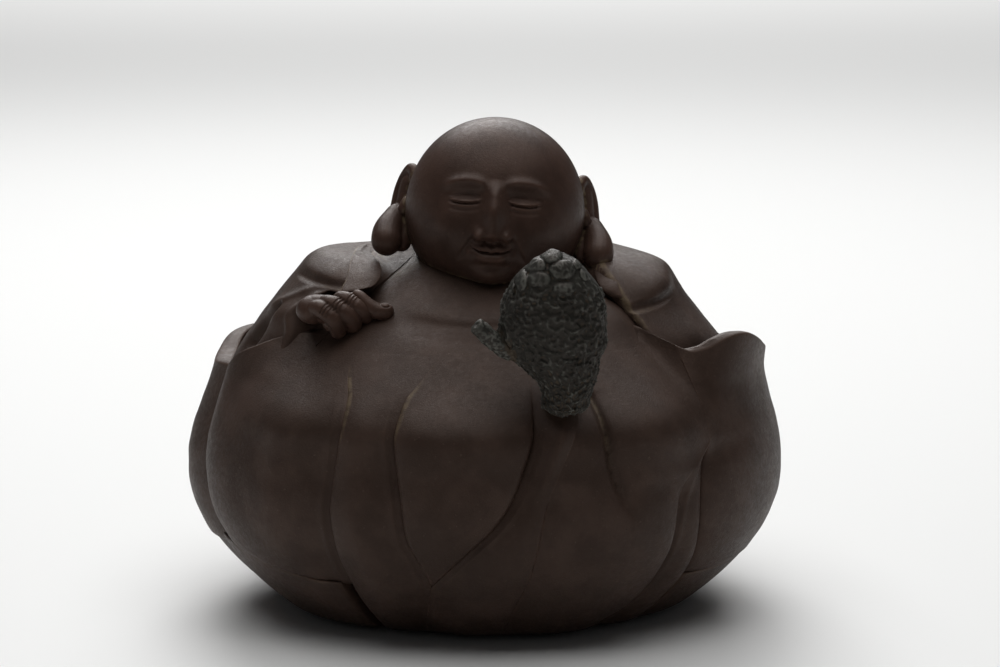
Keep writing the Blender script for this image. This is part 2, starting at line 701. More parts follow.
# %% [markdown]
# ## Foot of the lotus
# Where the large petals stop short of the table, a ring of low under-petals shows. The pot inside is pressed
# in two halves and closed by a floor with a vent hole, because a hollow piece of clay needs a way out for the
# air when it is fired. They are slabs again, with straight walls where one half meets the other.

# %% Under-petals
UNDER_PETAL_SET_BACK = 0.7
UNDER_PETAL_LAP = 0.4
UNDER_PETAL_ROUNDNESS = 0.6
UNDER_PETAL_TOP = ((-122, 12.5), (-72, 14.2), (-59, 13.9), (-52, 12.9), (-46, 11.7), (-40, 10.7), (-36, 10.6))
UNDER_PETAL_GRID = (64, 36)
UNDER_PETALS = {
    "under_petal_left": (-72, -34),
    "under_petal_left_back": (-122, -72),
    "under_petal_back_left": (-167, -122),
    "under_petal_back": (149, 193),
    "under_petal_back_right": (103, 149),
    "under_petal_right": (51.5, 103),
}


def make_under_petal(name, ends):
    slab, across, up = start_slab(name, *UNDER_PETAL_GRID)
    across = crowded(across)
    angle = mix(ends[0], ends[1], across)
    top = np.where(angle < 0, along(UNDER_PETAL_TOP, angle), UNDER_TOP + UNDER_PETAL_LAP)
    height = mix(FOOT_LIFT, top, crowded(up))
    belly = torso_radius(angle, height)
    pillow = PETAL_RELIEF * np.maximum(4 * across * (1 - across), 0) ** UNDER_PETAL_ROUNDNESS
    pillow = pillow - UNDER_PETAL_SET_BACK
    to_side = np.minimum(across, 1 - across) * (ends[1] - ends[0]) * math.radians(1) * belly
    outside = belly + pillow - CREASE_DEPTH * (1 - quarter_round(to_side, CREASE_RADIUS))
    outside = outside - FOOT_ROUND * (1 - quarter_round(height - FOOT_LIFT, FOOT_ROUND))
    outside = outside - CREASE_DEPTH * (1 - quarter_round(top - height, CREASE_RADIUS))
    skin = placed(angle, outside, height)
    inside = np.where(on_border(across, up), outside, belly - PETAL_THICKNESS)
    finish_slab(slab, skin, placed(angle, inside, height))
    return slab


under_petals = {name: make_under_petal(name, ends) for name, ends in UNDER_PETALS.items()}
print("under-petals:", len(under_petals))

# %% Pot halves
BODY_GRID = (190, 180)
LEDGE_SHARE = 0.25
NECK_HOLE = 2.2
CHEST_FOLD = (
    (-40, 52), (-36, 51.8), (-27.4, 51.3), (-15.7, 50.7), (-3.4, 50.4), (9, 50.7), (24, 51.5), (30, 52)
)
CHEST_FOLD_DEPTH = 1.3
CHEST_FOLD_PLACE = (-0.9, 1.3)
CHEST_FOLD_STARTS = (-38, -20)
CHEST_FOLD_ENDS = (12, 28)
CHEST_RESIDUE = 0.75
CHEST_RESIDUE_ANGLE = (56, 16)
CHEST_RESIDUE_HEIGHTS = (53, 57)
LEDGE_DROP = 0.01
WALL_EASE = (20, 36)


def pot_height(up):
    """Heights up the pot, with most rows on the chest above the petals."""
    low = mix(0, SEAM_HEIGHT - LEDGE_DROP, up / LEDGE_SHARE)
    high = mix(SEAM_HEIGHT, NECK_HEIGHT, (up - LEDGE_SHARE) / (1 - LEDGE_SHARE))
    return np.where(up < LEDGE_SHARE, low, high)


def make_body_half(name, middle):
    slab, across, up = start_slab(name, *BODY_GRID)
    angle = middle + mix(-90, 90, across)
    height = pot_height(up)
    outside = body_radius(angle, height)
    if middle == 0:
        above = height - along(CHEST_FOLD, angle)
        fold = CHEST_FOLD_DEPTH * hump(above, *CHEST_FOLD_PLACE)
        outside = outside - fold * ease(angle, *CHEST_FOLD_STARTS) * (1 - ease(angle, *CHEST_FOLD_ENDS))
    skin = placed(angle, outside, height)
    inner_angle = middle + mix(-90, 90, straight_walled(across, BODY_GRID[0]))
    inner_up = straight_walled(up, BODY_GRID[1])
    inner_height = pot_height(inner_up)
    wall = PETAL_THICKNESS + WALL + SHOULDER_SEAT / 2 * ease(inner_height, *WALL_EASE)
    inside = np.maximum(torso_radius(inner_angle, inner_height) - wall, NECK_HOLE)
    lining = placed(inner_angle, inside, inner_height)
    lining = np.where(on_border(across, up)[:, None], skin, lining)
    residue = CHEST_RESIDUE * hump(np.abs(angle), *CHEST_RESIDUE_ANGLE) * ease(height, *CHEST_RESIDUE_HEIGHTS)
    finish_slab(slab, skin, lining, residue)
    return slab


pot = {name: make_body_half(name, middle) for name, middle in (("body_front", 0), ("body_back", 180))}
print("pot halves:", [len(half.data.vertices) for half in pot.values()])

# %% Floor of the pot
VENT_DIAMETER = 14
FLOOR_THICKNESS = 4
FLOOR_RECESS = 0.8
FLOOR_GRID = (120, 20)
FLOOR_ROUND = 0.8


def make_floor(name):
    slab, across, up = start_slab(name, *FLOOR_GRID)
    angle = 360 * across
    outer = oval(angle, *GIRTH) * foot_share(FLOOR_RECESS) - PETAL_THICKNESS - WALL - JOINT_GAP
    radius = mix(VENT_DIAMETER / 2, outer, crowded(up))
    to_edge = np.minimum(radius - VENT_DIAMETER / 2, outer - radius)
    half = FLOOR_THICKNESS / 2 * quarter_round(to_edge, FLOOR_ROUND)
    middle = FLOOR_RECESS + FLOOR_THICKNESS / 2
    finish_slab(slab, placed(-angle, radius, middle + half), placed(-angle, radius, middle - half))
    return slab


floor_disc = make_floor("foot_disc")
print("floor of the pot:", len(floor_disc.data.vertices), "points")

# %% [markdown]
# ## Robe
# The robe is a back panel and two sleeves that lie on the shoulders. Each sleeve has a deep fold where the
# arm bends: the upper arm swells out over a pocket, and the lower arm starts in a crisp ledge under it. The
# folds are pressed into the slab as a potter would, by moving its points in along a line.

# %% Folds of the sleeves
RIGHT_LEDGE = ((-86, 55.4), (-78, 54.9), (-65, 54.6), (-55, 54.4), (-48, 54.1))
RIGHT_POCKET_DEPTH = 0.6
RIGHT_POCKET_REACH = 1.6
RIGHT_POCKET_TURN = (-84, -71)
RIGHT_ARM_BULGE = 1.4
RIGHT_BULGE_PLACE = (RIGHT_POCKET_REACH + 0.3, 1.8)
RIGHT_BULGE_TURN = (-125, -85)
RIGHT_FRONT = (0, 8)
CUFF_EDGE = ((44, -60.5), (47.7, -61), (50.8, -62.8), (53.2, -60.6), (55, -58))
CUFF_TOP = (-1, -0.3)
CUFF_HOLLOW = 3.2
CUFF_LIP = (0.1, 0.8)
CUFF_BAND = 0.6
CUFF_BAND_PLACE = (-0.5, 0.8)
# A groove: its line, its depth, its width at both ends, and the share of its length over which it sets in
SLEEVE_VALLEY = ((-69.5, 52), (-72.5, 50.4), (-76, 47.6), (-79, 44))
SLEEVE_VALLEY_SHAPE = (1.9, (0.6, 1.6), (0, 0.3))
SLEEVE_RIDGE = ((-66, 53.9), (-70, 52.6), (-75, 51), (-81, 49))
SLEEVE_RIDGE_HEIGHT = 0.6
SLEEVE_RIDGE_WIDTH = 0.7
SLEEVE_RIDGE_ENDS = (0.5, 1)
SLEEVE_RIDGE_TOP = (-0.6, 0)
LEFT_LEDGE = ((46, 50.9), (56, 51.15), (62, 51.4), (73, 52.2), (82, 53.4))
LEFT_POCKET_DEPTH = 0.6
LEFT_POCKET_REACH = 1.6
LEFT_POCKET_TURN = (60, 78)
LEFT_ARM_BULGE = 1.5
LEFT_BULGE_PLACE = (LEFT_POCKET_REACH + 0.9, 1.7)
LEFT_BULGE_TURN = (80, 108)
LEFT_FRONT = (0, 12)
SLEEVE_REACH = 31
LEDGE_STEP = 0.2


def pocket(above, depth, reach):
    """A hollow that is deepest just above a ledge and fades out over its reach."""
    return -depth * ease(above, -LEDGE_STEP, LEDGE_STEP) * (1 - ease(above, LEDGE_STEP, reach))


def pressed(angle, height, route, depth, widths, starts):
    """A groove along a route, which widens from its first end to its last."""
    gap, done = stroke(angle, height, route, SLEEVE_REACH)
    return -depth * hump(gap, 0, mix(*widths, done)) * ease(done, *starts)


def right_sleeve_folds(angle, height):
    above = height - along(RIGHT_LEDGE, angle)
    inner = ease(angle, *RIGHT_POCKET_TURN)
    fold = pocket(above, RIGHT_POCKET_DEPTH * inner, RIGHT_POCKET_REACH)
    front = ease(-robe_edge(height) - angle, *RIGHT_FRONT)
    bulge = RIGHT_ARM_BULGE * hump(above, *RIGHT_BULGE_PLACE) * ease(angle, *RIGHT_BULGE_TURN)
    fold = fold + bulge * front
    beyond = (angle - along(CUFF_EDGE, height)) * math.radians(1) * SLEEVE_REACH
    below = 1 - ease(above, *CUFF_TOP)
    fold = fold - CUFF_HOLLOW * ease(beyond, *CUFF_LIP) * below
    fold = fold + CUFF_BAND * hump(beyond, *CUFF_BAND_PLACE) * below
    fold = fold + pressed(angle, height, SLEEVE_VALLEY, *SLEEVE_VALLEY_SHAPE)
    gap, done = stroke(angle, height, SLEEVE_RIDGE, SLEEVE_REACH)
    ridge = SLEEVE_RIDGE_HEIGHT * hump(gap, 0, SLEEVE_RIDGE_WIDTH) * (1 - ease(done, *SLEEVE_RIDGE_ENDS))
    return fold + ridge * (1 - ease(above, *SLEEVE_RIDGE_TOP))


def left_sleeve_folds(angle, height):
    above = height - along(LEFT_LEDGE, angle)
    fold = pocket(above, LEFT_POCKET_DEPTH * (1 - ease(angle, *LEFT_POCKET_TURN)), LEFT_POCKET_REACH)
    front = ease(angle - robe_edge(height), *LEFT_FRONT)
    bulge = LEFT_ARM_BULGE * hump(above, *LEFT_BULGE_PLACE) * (1 - ease(angle, *LEFT_BULGE_TURN))
    return fold + bulge * front


BACK_FOLDS = (
    ((150, 60), (142, 54), (137, 47), (134, 40)),
    ((165, 60.5), (161, 54), (159, 47), (160, 40)),
    ((183, 60.5), (184, 54), (186, 47), (185, 40)),
    ((203, 60), (209, 54), (212, 47), (212, 40)),
    ((222, 59.5), (231, 54), (236, 47), (238, 40)),
)
BACK_FOLD_SHAPE = (1.1, (0.8, 2.2), (0.05, 0.35))


def back_folds(angle, height):
    fold = 0 * angle
    for route in BACK_FOLDS:
        fold = fold + pressed(angle, height, route, *BACK_FOLD_SHAPE)
    return fold


print("folds drawn on the robe:", 3 + len(BACK_FOLDS))

# %% Robe panels
ROBE_GRID = (150, 150)
ROBE_ROLL = 0.7
ROBE_JOINT_ROLL = 0.35
ROBE_RIDGE = 0.15
ROBE_RIDGE_PLACE = (0.9, 0.7)
ROBE_UNEVENNESS = 0.12
FAR_FROM_EDGE = 9
EDGE_RESIDUE = (0.2, 1.1)
LEDGE_RESIDUE = 0.6
LEDGE_RESIDUE_WIDTH = 0.4
LEDGE_RESIDUE_FADE = (3, 9)
ROBE_RESIDUE_HEIGHTS = (47, 50)
LEDGES = {"sleeve_right": RIGHT_LEDGE, "sleeve_left": LEFT_LEDGE}
ROBE_PANELS = {
    "robe_back": (lambda h: ROBE_SIDE_ANGLE + 0 * h, lambda h: 360 - ROBE_SIDE_ANGLE + 0 * h, back_folds),
    "sleeve_right": (lambda h: -ROBE_SIDE_ANGLE + 0 * h, lambda h: -robe_edge(h), right_sleeve_folds),
    "sleeve_left": (robe_edge, lambda h: ROBE_SIDE_ANGLE + 0 * h, left_sleeve_folds),
}


def make_robe_panel(name, first, last, folds):
    slab, across, up = start_slab(name, *ROBE_GRID)
    border = on_border(across, up)
    across = crowded(across)
    top = robe_top(mix(first(CROWN_HEIGHT), last(CROWN_HEIGHT), across))
    height = mix(ROBE_HEM_HEIGHT, top, up)
    angle = mix(first(height), last(height), across)
    wide = (last(height) - first(height)) * math.radians(1) * SLEEVE_REACH
    fronts = {"sleeve_right": (1 - across) * wide, "sleeve_left": across * wide}
    front = fronts.get(name, FAR_FROM_EDGE + 0 * across)
    outside = robe_radius(angle, height) + folds(angle, height)
    outside = outside + ROBE_RIDGE * hump(front, *ROBE_RIDGE_PLACE)
    outside = outside - ROBE_ROLL * (1 - quarter_round(front, ROBE_ROLL))
    joint = np.minimum(across, 1 - across) * wide
    outside = outside - ROBE_JOINT_ROLL * (1 - quarter_round(joint, ROBE_JOINT_ROLL))
    lifted = height + shoulder_lift(angle, height)
    outside = outside + ROBE_UNEVENNESS * unevenness(placed(angle, outside, lifted))
    skin = placed(angle, outside, lifted)
    inner_height = mix(ROBE_HEM_HEIGHT, top - SHOULDER_THICKNESS, up)
    inner_angle = mix(first(inner_height), last(inner_height), across)
    seat = np.maximum(body_radius(inner_angle, inner_height) + JOINT_GAP, neck_reach(inner_angle))
    lining = placed(inner_angle, seat, inner_height)
    residue = 1 - ease(front, *EDGE_RESIDUE)
    if name in LEDGES:
        on_ledge = hump(height - along(LEDGES[name], angle), 0, LEDGE_RESIDUE_WIDTH)
        residue = np.maximum(residue, LEDGE_RESIDUE * on_ledge * (1 - ease(front, *LEDGE_RESIDUE_FADE)))
    residue = residue * ease(height, *ROBE_RESIDUE_HEIGHTS)
    finish_slab(slab, skin, np.where(border[:, None], skin, lining), residue)
    return slab


robe = {name: make_robe_panel(name, *panel) for name, panel in ROBE_PANELS.items()}
print("robe panels:", list(robe))

# %% [markdown]
# ## Lapels
# At the chest the robe's edge is turned over. Each lapel is a small leaf of clay that runs from the edge of
# the sleeve in towards the chest and ends in a thin free edge. It is a slab between two drawn lines, one at
# the sleeve and one at the free edge, so both lines can be read straight off the figure.

# %% Lapel leaves
LAPEL_GRID = (60, 110)
LAPEL_THICKNESS = 1.1
LAPEL_BULGE = 0.5
LAPEL_RADIUS = 24
LAPEL_LENGTH = 12
LAPEL_RESIDUE = (0.2, 0.9)
# Points of each line: angle, height, distance from the axis
LAPELS = {
    "lapel_right": (
        ((-52.5, 54.4, 28.3), (-53.3, 54.9, 28.2), (-55.2, 56.2, 26.7), (-59, 57.5, 25.2), (-66, 58.9, 23.2),
         (-75, 59.7, 21.4), (-84, 59.9, 19.6)),
        ((-49.5, 54.3, 27.8), (-46.6, 54.9, 25.8), (-46.2, 55.4, 24.2), (-48.4, 56.5, 22.4), (-53, 57.5, 21),
         (-59.6, 58.3, 20.2), (-70, 58.9, 19.8), (-82, 59.4, 18.8)),
    ),
    "lapel_left": (
        ((53.4, 53.4, 27.3), (54, 54.6, 26.6), (56, 55.9, 25.6), (62, 57.2, 23.8), (76, 58.6, 21.6),
         (84, 60.2, 19.8)),
        ((51.6, 53.2, 26.9), (50.2, 53.7, 26.2), (49.4, 54.5, 25.2), (50.4, 55.4, 24), (54, 56.5, 22.4),
         (61, 57.7, 20.8), (78, 59.8, 18.8)),
    ),
}


def line_through(points, share):
    """Angle, height and distance along a drawn line."""
    points = np.array(points, float)
    stops = np.linspace(0, 1, len(points))
    return [along(np.stack([stops, points[:, column]], 1), share) for column in range(3)]


def make_lapel(name, sleeve_line, free_line):
    slab, across, up = start_slab(name, *LAPEL_GRID)
    border = on_border(across, up)
    across = crowded(across)
    up = crowded(up)
    right = name == "lapel_right"
    to_free = across if right else 1 - across
    at_sleeve = line_through(sleeve_line, up)
    at_free = line_through(free_line, up)
    angle, height, radius = [mix(start, end, to_free) for start, end in zip(at_sleeve, at_free)]
    radius = radius + LAPEL_BULGE * np.sin(np.pi * to_free)
    wide = np.hypot(at_sleeve[2] - at_free[2], (at_sleeve[0] - at_free[0]) * math.radians(1) * LAPEL_RADIUS)
    to_side = np.minimum(np.minimum(across, 1 - across) * wide, np.minimum(up, 1 - up) * LAPEL_LENGTH)
    half = LAPEL_THICKNESS / 2 * quarter_round(to_side, LAPEL_THICKNESS / 2)
    skin = placed(angle, radius + half, height)
    lining = placed(angle, radius - half, height)
    residue = 1 - ease(to_free * wide, *LAPEL_RESIDUE)
    finish_slab(slab, skin, np.where(border[:, None], skin, lining), residue)
    return slab


lapels = {name: make_lapel(name, *lines) for name, lines in LAPELS.items()}
print("lapels:", list(lapels))

# %% [markdown]
# ## Head
# The head is a round lump that leans back and a little to one side, with full cheeks and no hair. Its face is
# a plain, calm one on the usual proportions of figure drawing: the eyes lie at half the head's height, the
# base of the nose halfway from the eyes to the chin, and the mouth a third of the way below the nose. It is
# pressed into a sphere primitive whose points are crowded at the front, where the features are small.

# %% Head form
HEAD_SIZE = np.array((29, 28, 29.5))
HEAD_PLACE = np.array((1.8, -5.6, 66.4))
HEAD_PITCH = math.radians(-12)
HEAD_ROLL = math.radians(4)
HEAD_RINGS = (320, 250)
FRONT_CROWDING = 0.55
CHEEK_WIDTH = 0.05
CHEEK_LATITUDES = (-50, 20)
FACE_FRONT = (0.1, 0.5)
CHIN_LEVEL = -12.6
EYE_LEVEL = 0
NOSE_LEVEL = (EYE_LEVEL + CHIN_LEVEL) / 2
MOUTH_LEVEL = mix(NOSE_LEVEL, CHIN_LEVEL, 1 / 3)
EYE_ASIDE = 4.7
# Soft hills of the face: rise, place aside and its spread, level and its spread
FACE_HILLS = {
    "nose_wings": (1.3, 2.2, 0.9, -5.4, 1.05),
    "nostrils": (-0.4, 1.2, 0.5, -6.5, 0.35),
    "sockets": (-1.25, EYE_ASIDE - 0.3, 2.9, 0.5, 1.7),
    "eyeballs": (1, EYE_ASIDE, 2.1, -0.15, 1.25),
    "cheeks": (0.95, 6.6, 3, -4.9, 2.8),
    "philtrum": (-0.22, 0, 0.42, -7.1, 0.45),
    "under_lip": (-0.5, 0, 2.6, -10.35, 0.6),
    "chin": (1.2, 0, 3, -11.7, 1.4),
    "under_chin": (-0.55, 0, 5.5, -13.15, 0.45),
}
JAW = (2.9, 0, 7, -10.2, 3.8)


def turned(points, pitch, roll):
    """Leans points about X and then about Y, as a head leans on a neck."""
    lean = np.array([[1, 0, 0],
                     [0, math.cos(pitch), -math.sin(pitch)],
                     [0, math.sin(pitch), math.cos(pitch)]])
    tip = np.array([[math.cos(roll), 0, math.sin(roll)], [0, 1, 0], [-math.sin(roll), 0, math.cos(roll)]])
    return points @ (lean @ tip).T


def start_lump(name, around, up):
    """Adds a sphere and gives the direction of every point of it."""
    bpy.ops.object.select_all(action="DESELECT")
    bpy.ops.mesh.primitive_uv_sphere_add(segments=around, ring_count=up, radius=1)
    ball = named(bpy.context.object, name)
    return ball, read_values(ball.data.vertices, "co", 3)


def face_relief(x, z):
    """Height of the face over the skull, for places across and up the front of the head."""
    side = np.abs(x)
    bridge = 1.5 * hump(x, 0, 1.6) * ease(z, -5, -1) * (1 - ease(z, 0.5, 3.6))
    tip = 2.1 * hump(x, 0, 2) * ease(-z, -2, 4.6) * (1 - ease(-z, 4.9, 7.1))
    slit_level = -0.75 + 0.055 * (side - EYE_ASIDE) ** 2
    lid_span = 1 - ease(np.abs(side - EYE_ASIDE), 2.0, 2.9)
    slit = -0.42 * hump(z, slit_level, 0.2) * lid_span
    upper_lid = 0.2 * hump(z, slit_level + 0.42, 0.3) * lid_span
    lid_crease = -0.22 * hump(z, 0.95 - 0.06 * (side - EYE_ASIDE) ** 2, 0.24) * lid_span
    lower_lid = -0.14 * hump(z, -1.75 + 0.05 * (side - EYE_ASIDE) ** 2, 0.3) * lid_span
    brow_level = 2.9 - 0.055 * (side - 4.4) ** 2
    brows = 0.65 * hump(z, brow_level, 0.85) * ease(side, 0.8, 3) * (1 - ease(side, 6.5, 9.5))
    fold_aside = 2.7 + 0.62 * (-5.4 - z)
    smile_folds = -0.32 * hump(side, fold_aside, 0.5) * ease(-z, 5.2, 6.4) * (1 - ease(-z, 8.4, 10))
    mouth_level = MOUTH_LEVEL + 0.05 * side**2
    mouth_span = 1 - ease(side, 2.6, 3.5)
    bow = 0.22 * hump(side, 0.85, 0.6) - 0.1 * hump(x, 0, 0.4)
    upper_lip = 0.6 * hump(z, mouth_level + 0.6 + bow, 0.6) * (1 - ease(side, 1.4, 3.5))
    lower_lip = 0.65 * hump(z, mouth_level - 0.8, 0.7) * (1 - ease(side, 1, 3.1))
    mouth_line = -0.6 * hump(z, mouth_level, 0.2) * mouth_span
    corners = -0.4 * hump(side, 3.35, 0.5) * hump(z, mouth_level, 0.55)
    eyes = slit + upper_lid + lid_crease + lower_lid + brows
    mouth = upper_lip + lower_lip + mouth_line + corners + smile_folds
    return swellings(side, z, FACE_HILLS.values()) + bridge + tip + eyes + mouth


def make_head(name):
    ball, ways = start_lump(name, *HEAD_RINGS)
    turn = np.arctan2(ways[:, 0], -ways[:, 1])
    turn = turn - FRONT_CROWDING * np.sin(turn)
    level = np.hypot(ways[:, 0], ways[:, 1])
    ways = np.stack([level * np.sin(turn), -level * np.cos(turn), ways[:, 2]], axis=1)
    latitude = np.degrees(np.arcsin(np.clip(ways[:, 2], -1, 1)))
    points = ways * HEAD_SIZE / 2
    points[:, 0] *= 1 + CHEEK_WIDTH * (1 - ease(latitude, *CHEEK_LATITUDES))
    front = ease(-ways[:, 1], *FACE_FRONT)
    relief = face_relief(points[:, 0], points[:, 2]) * front
    jaw = swellings(points[:, 0], points[:, 2], [JAW]) * front
    points = points + ways * relief[:, None]
    points[:, 1] -= jaw
    points = turned(points, HEAD_PITCH, HEAD_ROLL) + HEAD_PLACE
    set_points(ball, points)
    smooth_shading(ball)
    return ball


head = make_head("head")
print("head points:", len(head.data.vertices))

# %% [markdown]
# ## Lumps that grow out of each other
# Ears, hand and thumb are rolls and lumps of clay worked into one skin. A roll is a curve with a round
# section, turned into a mesh. A Remesh modifier fuses the rolls and a Smooth modifier softens them, as a wet
# finger would.


# %% Rolls and skins
ROLL_STEPS = 40
ROLL_SECTION = 8
THIN_END = 0.02
LUMP_RINGS = (32, 20)
SOFTENING = 0.5


def clay_roll(points, widths, end_round=(1, 1)):
    """Adds a roll of clay along a smooth line, as a curve with a round section that closes at both ends."""
    points = np.array(points, float)
    shares = (1 - np.cos(np.linspace(0, np.pi, ROLL_STEPS))) / 2
    line = np.stack(line_through(points, shares), 1)
    radius = along(np.stack([np.linspace(0, 1, len(widths)), widths], 1), shares) / 2
    walked = np.concatenate([[0], np.cumsum(np.linalg.norm(np.diff(line, axis=0), axis=1))])
    for to_end, softness in zip((walked, walked[-1] - walked), end_round):
        radius = radius * np.maximum(quarter_round(to_end, radius * softness), THIN_END)
    bpy.ops.curve.primitive_nurbs_path_add(location=(0, 0, 0))
    roll = bpy.context.object
    roll.data.splines.clear()
    spline = roll.data.splines.new("POLY")
    spline.points.add(ROLL_STEPS - 1)
    flat = np.concatenate([(line + AXIS) * MM, np.ones((ROLL_STEPS, 1))], axis=1)
    spline.points.foreach_set("co", flat.ravel())
    spline.points.foreach_set("radius", radius)
    roll.data.bevel_depth = MM
    roll.data.bevel_resolution = ROLL_SECTION
    roll.data.use_fill_caps = True
    bpy.ops.object.convert(target="MESH")
    return bpy.context.object


def clay_lump(centre, size):
    """Adds an egg-shaped lump of clay."""
    around, up = LUMP_RINGS
    bpy.ops.mesh.primitive_uv_sphere_add(segments=around, ring_count=up, radius=MM / 2, scale=size)
    lump = bpy.context.object
    lump.location = (np.array(centre) + AXIS) * MM
    return lump


def fused(name, parts, voxel, passes):
    """Joins rolls and lumps into one smooth skin."""
    bpy.ops.object.select_all(action="DESELECT")
    for part in parts:
        part.select_set(True)
    bpy.context.view_layer.objects.active = parts[0]
    if len(parts) > 1:
        bpy.ops.object.join()
    skin = named(bpy.context.object, name)
    bpy.ops.object.transform_apply(location=True, rotation=True, scale=True)
    remesh = skin.modifiers.new("fuse", "REMESH")
    remesh.mode = "VOXEL"
    remesh.voxel_size = voxel * MM
    bpy.ops.object.modifier_apply(modifier=remesh.name)
    soften = skin.modifiers.new("soften", "SMOOTH")
    soften.factor = SOFTENING
    soften.iterations = passes
    bpy.ops.object.modifier_apply(modifier=soften.name)
    smooth_shading(skin)
    return skin


print("a roll of clay has", ROLL_STEPS, "steps")

# %% Ears
EAR_VOXEL = 0.15
EAR_SMOOTHING = 6
# Lines of an ear's rolls, out, back and up from the widest place of the head, and the widths along them
EAR_ROLLS = {
    "rim": (((-0.9, 0.6, 3), (-0.9, 1, 4.8), (-0.3, 2.2, 5.5), (0.6, 3.6, 4), (1.3, 4.2, 1.9), (1.7, 4, -0.4),
             (2.1, 3.3, -2.5), (2.6, 2.6, -4)), (1.5, 1.8, 2, 2.2, 2.2, 2.1, 2, 1.8)),
    "shell": (((-1, 2, 5), (-0.5, 2.8, 2.6), (-0.2, 2.8, 0), (0.4, 2.4, -2.8)), (3.2, 3.8, 4, 3.8)),
    "tag": (((-0.3, 0.5, 0.8), (0.3, 0.2, -0.8), (0.5, 0.4, -2.4)), (1.5, 1.8, 1.7)),
    "lobe": (((1, 2.8, -0.6), (1.8, 1.4, -2.6), (2.7, -0.8, -5.4), (2.6, -3.8, -8.6)), (2.6, 3.8, 5, 5)),
    "root": (((0.3, 2.2, -2), (0.5, 0.6, -5), (0.2, -2, -8)), (3.4, 3.6, 3)),
}


def on_head(points):
    """Moves points from the head's own frame to their place on the leaning head."""
    return turned(np.array(points, float), HEAD_PITCH, HEAD_ROLL) + HEAD_PLACE


def make_ear(name, side):
    """Rolled rim, hollow shell and long thick lobe, fused into one skin."""
    parts = []
    for points, widths in EAR_ROLLS.values():
        line = [(side * (HEAD_SIZE[0] / 2 + out), back, up) for out, back, up in points]
        parts.append(clay_roll(on_head(line), widths))
    return fused(name, parts, EAR_VOXEL, EAR_SMOOTHING)


ears = {"ear_right": make_ear("ear_right", -1), "ear_left": make_ear("ear_left", 1)}
print("ear points:", [len(ear.data.vertices) for ear in ears.values()])

# %% [markdown]
# ## Right hand
# The hand rests in a loose fist on the rim of a petal, and the thumb lies apart on the chest. Four fingers
# curl from the knuckles down and under, so each is a bent roll. The fine wrinkles over the finger
# joints are pressed in afterwards, across each finger.

# %% Hand and thumb
HAND_VOXEL = 0.12
HAND_SMOOTHING = 4
# Each finger from its knuckle over the bent joint to its tip, the one nearest the viewer first
FINGERS = (
    ((-27.6, -20.6, 52.2), (-25.6, -22.7, 52.3), (-23.7, -23.5, 50.9), (-23, -22.5, 49.2),
     (-23.6, -20.2, 48.2)),
    ((-26, -20.2, 53), (-24, -22.3, 53), (-21.7, -22.9, 51.5), (-20.7, -22, 49.9), (-21.3, -20, 48.8)),
    ((-23.8, -19.6, 53.5), (-21.8, -21.3, 53.5), (-19.8, -21.7, 52.3), (-18.8, -20.9, 51),
     (-19.4, -19.4, 50)),
    ((-21.8, -19, 53.4), (-20, -20.2, 53.2), (-18.4, -20.4, 52.2), (-18, -19.8, 51.3), (-18.6, -18.8, 50.8)),
)
FINGER_WIDTHS = (2.6, 2.9, 2.8, 2.7, 2.4)
HAND_BACK = (
    (-27.2, -13.8, 50.8), (-27.5, -16.8, 51.5), (-26.6, -20, 52), (-23.4, -20.6, 52), (-20.2, -19.6, 52.1)
)
HAND_BACK_WIDTHS = (3.8, 4.4, 4.6, 4.4, 3.6)
PALM = ((-23, -20.4, 50.2), (5.8, 4, 4.6))
KNUCKLES = ((-27.2, -19.9, 51.8), (5.6, 5.2, 4.6))
WRINKLE_DEPTH = 0.17
WRINKLE_WIDTH = 0.13
WRINKLE_SHARES = (0.3, 0.345, 0.39)
WRINKLE_REACH = (1.5, 1.8)
WRINKLE_SIDE = (0.5, 1)
WRINKLED_FINGERS = 3
FINGER_STEPS = 200
FINGER_STRIDE = 4
THUMB = (
    (-20.8, -19.6, 54.4), (-19.7, -20.6, 54), (-18.5, -21.2, 52.9), (-17.2, -21.4, 52), (-15.9, -21.3, 51.8),
    (-14.4, -20.7, 52.1)
)
THUMB_WIDTHS = (1.8, 2, 2.3, 2.6, 2.8, 2.6)
NAIL_PLACE = np.array((-15.6, -21.7, 53.2))
NAIL_RADIUS = 0.85
NAIL_LINE = 0.14
NAIL_DEPTH = 0.16


def point_normals(piece):
    return read_values(piece.data.vertices, "normal", 3)


def press_wrinkles(piece, line, shares):
    """Presses short grooves into the back of a finger, across its line."""
    points = get_points(piece)
    normals = point_normals(piece)
    steps = np.linspace(0, 1, FINGER_STEPS)
    route = np.stack(line_through(line, steps), 1)
    gap = np.linalg.norm(points[:, None, :] - route[None, ::FINGER_STRIDE, :], axis=2)
    nearest = gap.argmin(axis=1) * FINGER_STRIDE
    near = (1 - ease(gap.min(axis=1), *WRINKLE_REACH)) * ease(normals[:, 2] - normals[:, 1], *WRINKLE_SIDE)
    length = np.linalg.norm(np.diff(route, axis=0), axis=1).sum()
    dent = 0 * near
    for share in shares:
        dent = dent + hump((steps[nearest] - share) * length, 0, WRINKLE_WIDTH)
    set_points(piece, points - normals * (WRINKLE_DEPTH * dent * near)[:, None])


def press_nail(piece, centre):
    """Presses the outline of a nail."""
    points = get_points(piece)
    ring = hump(np.linalg.norm(points - centre, axis=1), NAIL_RADIUS, NAIL_LINE)
    set_points(piece, points - point_normals(piece) * (NAIL_DEPTH * ring)[:, None])


def make_hand(name):
    parts = [clay_roll(line, FINGER_WIDTHS) for line in FINGERS]
    parts += [clay_roll(HAND_BACK, HAND_BACK_WIDTHS), clay_lump(*PALM), clay_lump(*KNUCKLES)]
    hand = fused(name, parts, HAND_VOXEL, HAND_SMOOTHING)
    for line in FINGERS[:WRINKLED_FINGERS]:
        press_wrinkles(hand, line, WRINKLE_SHARES)
    return hand


